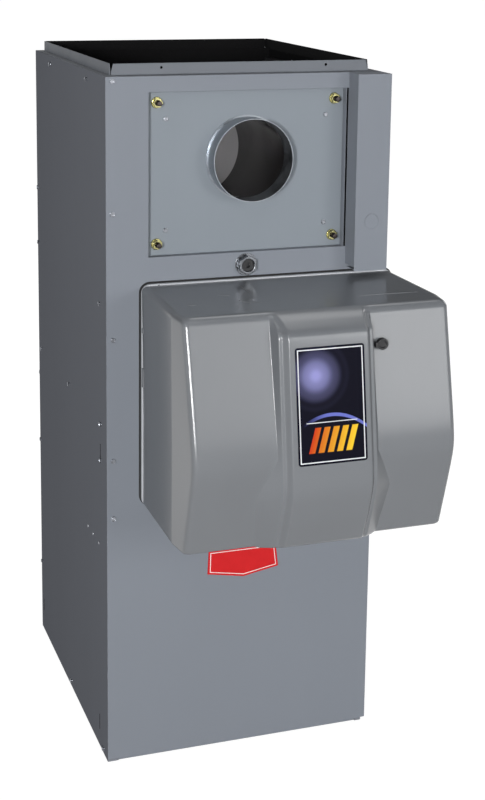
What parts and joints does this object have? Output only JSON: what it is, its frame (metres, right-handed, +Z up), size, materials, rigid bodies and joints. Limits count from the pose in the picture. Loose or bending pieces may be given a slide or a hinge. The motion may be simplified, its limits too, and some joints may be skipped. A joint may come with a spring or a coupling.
{
  "type": "oil furnace",
  "caption": "Upright oil-fired warm-air furnace: sheet-metal cabinet with duct flange and flue collar, moulded cover over the burner, heat exchanger drums and a blower inside.",
  "frame": {"origin": "centre of the base, on the floor", "axes": "+X to the right side, +Y to the back, +Z up; the burner and its cover face -Y"},
  "size_m": [0.5666, 0.9623, 1.334],
  "materials": {
    "cabinet_paint": "satin",
    "galvanised_steel": "satin",
    "heat_black": "satin",
    "drum_steel": "matte",
    "end_plate_steel": "satin",
    "cast_aluminium": "matte",
    "bright_aluminium": "satin",
    "black_liner": "matte",
    "moulded_cover": "satin",
    "black_plastic": "satin",
    "foam_rubber": "matte",
    "ceramic_fibre": "matte",
    "porcelain": "gloss",
    "brass": "satin",
    "copper": "satin",
    "bright_chrome": "polished",
    "yellow_zinc": "satin",
    "wheel_steel": "satin",
    "motor_enamel": "satin",
    "red_enamel": "gloss",
    "circuit_green": "satin",
    "block_resin": "matte",
    "control_grey": "satin",
    "white_nylon": "satin"
  },
  "bodies": {
    "root": {"base_pan": "cabinet_paint", "left_side_panel": "cabinet_paint", "right_side_panel": "cabinet_paint", "front_panel": "cabinet_paint", "rear_panel": "cabinet_paint", "top_plate": "cabinet_paint", "divider_deck": "galvanised_steel", "side_insulation": "black_liner", "cabinet_screws": "galvanised_steel", "flue_plate": "cabinet_paint", "flue_gasket": "ceramic_fibre", "flue_collar": "galvanised_steel", "flue_studs": "galvanised_steel", "flue_nuts": "yellow_zinc", "flue_drum": "heat_black", "flue_drum_end": "end_plate_steel", "crossover_neck": "heat_black", "primary_drum": "drum_steel", "refractory_liner": "ceramic_fibre", "drum_cradle": "galvanised_steel", "observation_tube": "galvanised_steel", "port_bushing": "bright_chrome", "wiring_box": "cabinet_paint", "knockout": "cabinet_paint", "terminal_block": "block_resin", "limit_switch": "black_plastic", "burner_gasket": "ceramic_fibre", "burner_flange": "cast_aluminium", "air_tube": "galvanised_steel", "nozzle_line": "brass", "electrodes": "porcelain", "retention_head": "wheel_steel", "burner_housing": "cast_aluminium", "burner_motor": "motor_enamel", "fuel_pump": "bright_aluminium", "oil_line": "copper", "igniter": "black_plastic", "primary_control": "control_grey", "cover_bracket": "galvanised_steel", "badge_plate": "red_enamel", "blower_housing": "galvanised_steel", "blower_motor": "motor_enamel", "motor_arms": "galvanised_steel", "blower_rails": "galvanised_steel", "control_board": "circuit_green", "transformer": "motor_enamel", "door_switch": "black_plastic"},
    "cover": {"burner_cover": "moulded_cover", "cover_gasket": "foam_rubber"},
    "knob": {"cover_knob": "black_plastic"},
    "burner_rotor": {"burner_wheel": "wheel_steel"},
    "shutter": {"air_shutter": "bright_aluminium"},
    "reset": {"reset_button": "red_enamel"},
    "blower_rotor": {"blower_wheel": "galvanised_steel"},
    "door": {"blower_door": "cabinet_paint", "door_pull": "black_plastic"},
    "left_door_screw": {"door_screw_left": "galvanised_steel"},
    "right_door_screw": {"door_screw_right": "galvanised_steel"},
    "plunger": {"switch_plunger": "white_nylon"},
    "plug": {"port_plug": "black_plastic"}
  },
  "joints": [
    {"name": "cover_pull", "type": "slide", "parent": "root", "child": "cover", "axis": [0, -1, 0], "range_m": [0, 0.3]},
    {"name": "cover_knob_turn", "type": "hinge", "parent": "cover", "child": "knob", "pos_m": [0.154, -0.585, 0.87], "axis": [0, 1, 0], "continuous": true},
    {"name": "burner_rotor_spin", "type": "hinge", "parent": "root", "child": "burner_rotor", "pos_m": [0, -0.4205, 0.715], "axis": [1, 0, 0], "continuous": true},
    {"name": "air_shutter_turn", "type": "hinge", "parent": "root", "child": "shutter", "pos_m": [-0.0515, -0.4205, 0.715], "axis": [1, 0, 0], "range_deg": [-60, 0]},
    {"name": "reset_button_press", "type": "slide", "parent": "root", "child": "reset", "axis": [0, 1, 0], "range_m": [0, 0.003], "stiffness_N_per_m": 400, "springref_m": -0.002},
    {"name": "blower_rotor_spin", "type": "hinge", "parent": "root", "child": "blower_rotor", "pos_m": [0, -0.06, 0.33], "axis": [1, 0, 0], "continuous": true},
    {"name": "blower_door_pull", "type": "slide", "parent": "root", "child": "door", "axis": [0, 1, 0], "range_m": [0, 0.3]},
    {"name": "left_door_screw_turn", "type": "hinge", "parent": "door", "child": "left_door_screw", "pos_m": [-0.2553, 0.3085, 0.598], "axis": [0, 1, 0], "continuous": true},
    {"name": "right_door_screw_turn", "type": "hinge", "parent": "door", "child": "right_door_screw", "pos_m": [0.2553, 0.3085, 0.598], "axis": [0, 1, 0], "continuous": true},
    {"name": "switch_plunger_press", "type": "slide", "parent": "root", "child": "plunger", "axis": [0, 1, 0], "range_m": [-0.004, 0], "stiffness_N_per_m": 300, "springref_m": 0.002},
    {"name": "port_plug_turn", "type": "hinge", "parent": "root", "child": "plug", "pos_m": [0, -0.3085, 0.961], "axis": [0, 1, 0], "continuous": true}
  ]
}
